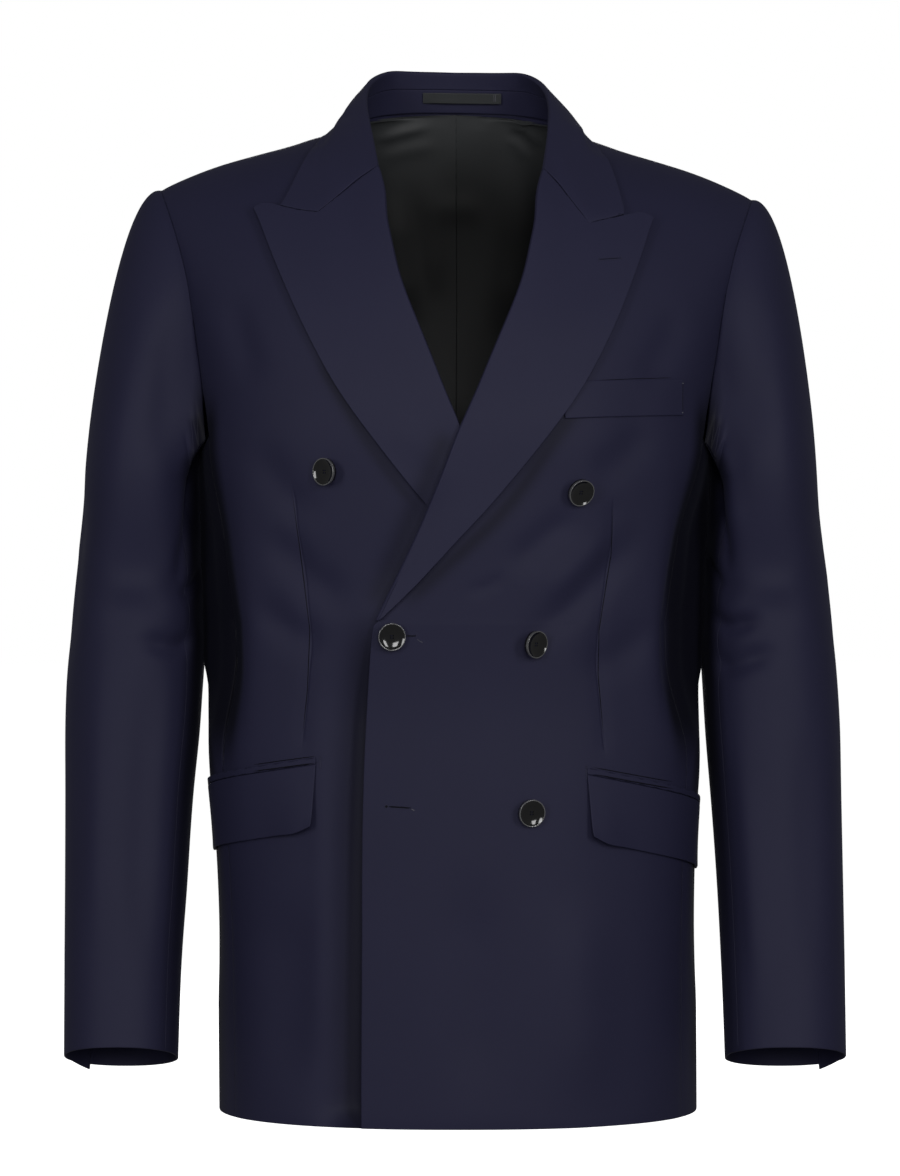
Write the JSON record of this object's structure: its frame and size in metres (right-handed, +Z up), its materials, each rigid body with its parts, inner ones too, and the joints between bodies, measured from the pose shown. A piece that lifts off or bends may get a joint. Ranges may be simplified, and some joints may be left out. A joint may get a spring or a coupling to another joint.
{
  "type": "double breasted blazer",
  "caption": "Double breasted blazer with peak lapels, flap pockets and glossy buttons, buttoned and filled out as if worn, hollow inside.",
  "frame": {"origin": "midway between the wearer's shoulders at the base of the neck, where the shoulders carry the blazer", "axes": "+Z up, -Y out of the front, +X to the wearer's left"},
  "size_m": [0.5872, 0.2575, 0.7953],
  "materials": {
    "navy_wool": "matt fine worsted weave",
    "navy_wool_facing": "matt fine worsted weave, pressed facing",
    "grey_satin": "soft satin sheen",
    "black_button": "polished"
  },
  "bodies": {
    "root": {"front_left": "navy_wool", "front_right": "navy_wool", "side_left": "navy_wool", "side_right": "navy_wool", "back_left": "navy_wool", "back_right": "navy_wool", "sleeve_top_left": "navy_wool", "sleeve_top_right": "navy_wool", "sleeve_under_left": "navy_wool", "sleeve_under_right": "navy_wool", "breast_welt": "navy_wool", "pocket_jet_left": "navy_wool", "pocket_jet_right": "navy_wool", "pocket_flap_left": "navy_wool", "pocket_flap_right": "navy_wool", "lapel_left": "navy_wool_facing", "lapel_right": "navy_wool_facing", "collar_fall": "navy_wool_facing", "collar_stand": "navy_wool_facing", "lining_back_left": "grey_satin", "lining_back_right": "grey_satin", "hanger_loop": "grey_satin", "button_1": "black_button", "button_2": "black_button", "button_3": "black_button", "button_4": "black_button", "button_5": "black_button"}
  },
  "joints": []
}
